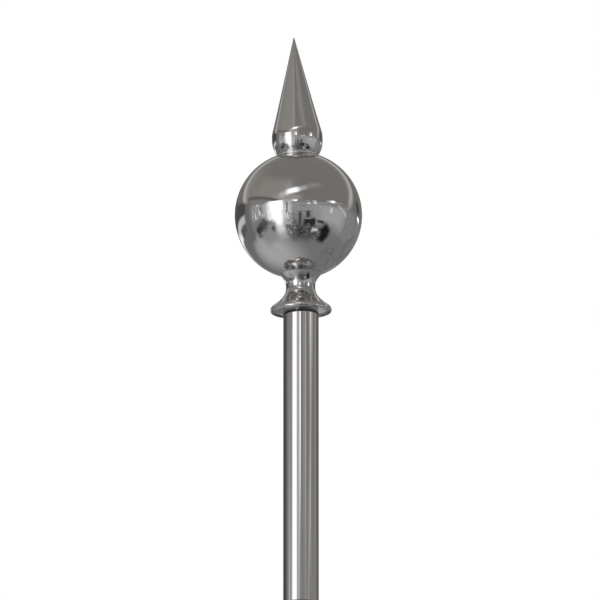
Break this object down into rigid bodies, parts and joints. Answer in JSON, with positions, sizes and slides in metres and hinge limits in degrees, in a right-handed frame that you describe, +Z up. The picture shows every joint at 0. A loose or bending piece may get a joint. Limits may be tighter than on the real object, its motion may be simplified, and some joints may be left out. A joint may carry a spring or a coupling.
{
  "type": "flagpole finial",
  "caption": "Polished steel flagpole finial: teardrop spike on a ball, on a flared collar that caps the round pole, with the pole's top end.",
  "frame": {"origin": "centre of the pole's square-cut lower end, on the plane the part stands on", "axes": "+Z up along the pole towards the spike's tip; -X is the side the finial leans to, on the left of the picture; the picture looks along +Y"},
  "size_m": [0.153, 0.153, 0.6955],
  "materials": {
    "pole_steel": "polished stainless tube, with faint lengthwise polishing lines",
    "collar_steel": "polished spun stainless, with faint turning lines",
    "ball_steel": "mirror-polished stainless",
    "spike_steel": "mirror-polished spun stainless"
  },
  "bodies": {
    "root": {"pole": "pole_steel", "collar": "collar_steel", "ball": "ball_steel", "spike": "spike_steel"}
  },
  "joints": []
}
